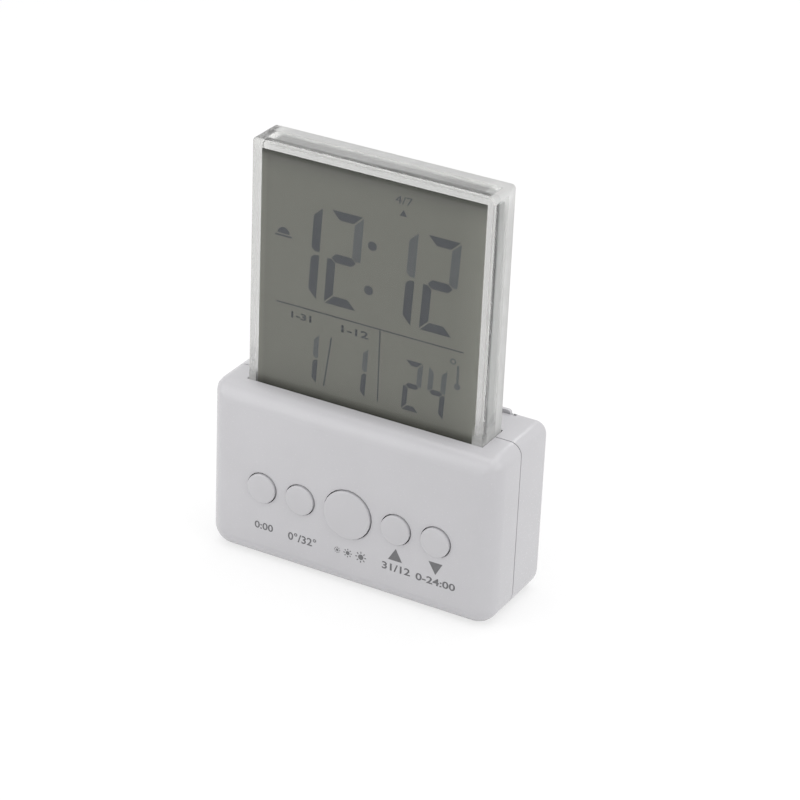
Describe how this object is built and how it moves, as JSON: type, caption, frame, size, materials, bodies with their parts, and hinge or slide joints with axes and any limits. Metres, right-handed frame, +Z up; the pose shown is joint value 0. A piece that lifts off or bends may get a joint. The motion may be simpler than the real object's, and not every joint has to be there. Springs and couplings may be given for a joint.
{
  "type": "night light clock",
  "caption": "Desk clock with a clear display block standing in a rounded plastic base, with a row of push buttons in front, a backlit display and a sliding battery door behind.",
  "frame": {"origin": "on the table, under the middle of the whole clock", "axes": "+X to the right as the display is read, +Y from the buttons to the battery door, +Z up"},
  "size_m": [0.08, 0.0274, 0.1102],
  "materials": {
    "case": "fine satin moulding, light grey",
    "clear": "polished clear acrylic",
    "display": "smooth grey film",
    "glass": "clear sheet glass",
    "guide": "frosted white",
    "board": "green lacquered laminate",
    "epoxy": "black potting resin",
    "silicone": "soft grey",
    "carbon": "black conductive rubber",
    "cell": "plain blue sleeve",
    "steel": "bright plated steel",
    "ribbon": "amber film",
    "red_sleeve": "smooth red insulation",
    "black_sleeve": "smooth black insulation"
  },
  "bodies": {
    "base": {"front_case": "case", "rear_case": "case", "window_front": "clear", "window_rear": "clear", "lcd_front_polariser": "display", "lcd_front_glass": "glass", "lcd_rear_glass": "glass", "lcd_rear_polariser": "display", "light_guide": "guide", "lcd_ribbon": "ribbon", "main_board": "board", "chip_blob": "epoxy", "crystal_can": "steel", "capacitor": "black_sleeve", "thermistor": "epoxy", "led_left": "clear", "led_right": "clear", "keypad_sheet": "silicone", "battery_upper": "cell", "battery_lower": "cell", "contact_bridge": "steel", "contact_positive": "steel", "contact_negative": "steel", "wire_positive": "red_sleeve", "wire_negative": "black_sleeve", "case_screw_1": "steel", "case_screw_2": "steel", "case_screw_3": "steel", "case_screw_4": "steel", "board_screw_1": "steel", "board_screw_2": "steel", "board_screw_3": "steel", "board_screw_4": "steel"},
    "set": {"set_button": "case", "set_key": "silicone", "set_pill": "carbon"},
    "temp": {"temp_button": "case", "temp_key": "silicone", "temp_pill": "carbon"},
    "light": {"light_button": "case", "light_key": "silicone", "light_pill": "carbon"},
    "up": {"up_button": "case", "up_key": "silicone", "up_pill": "carbon"},
    "down": {"down_button": "case", "down_key": "silicone", "down_pill": "carbon"},
    "door": {"battery_door": "case"}
  },
  "joints": [
    {"name": "set_press", "type": "slide", "parent": "base", "child": "set", "axis": [0, 1, 0], "range_m": [0, 0.0008], "stiffness_N_per_m": 350, "springref_m": -0.002},
    {"name": "temp_press", "type": "slide", "parent": "base", "child": "temp", "axis": [0, 1, 0], "range_m": [0, 0.0008], "stiffness_N_per_m": 350, "springref_m": -0.002},
    {"name": "light_press", "type": "slide", "parent": "base", "child": "light", "axis": [0, 1, 0], "range_m": [0, 0.0008], "stiffness_N_per_m": 350, "springref_m": -0.002},
    {"name": "up_press", "type": "slide", "parent": "base", "child": "up", "axis": [0, 1, 0], "range_m": [0, 0.0008], "stiffness_N_per_m": 350, "springref_m": -0.002},
    {"name": "down_press", "type": "slide", "parent": "base", "child": "down", "axis": [0, 1, 0], "range_m": [0, 0.0008], "stiffness_N_per_m": 350, "springref_m": -0.002},
    {"name": "door_slide", "type": "slide", "parent": "base", "child": "door", "axis": [0, 0, 1], "range_m": [0, 0.027]}
  ]
}
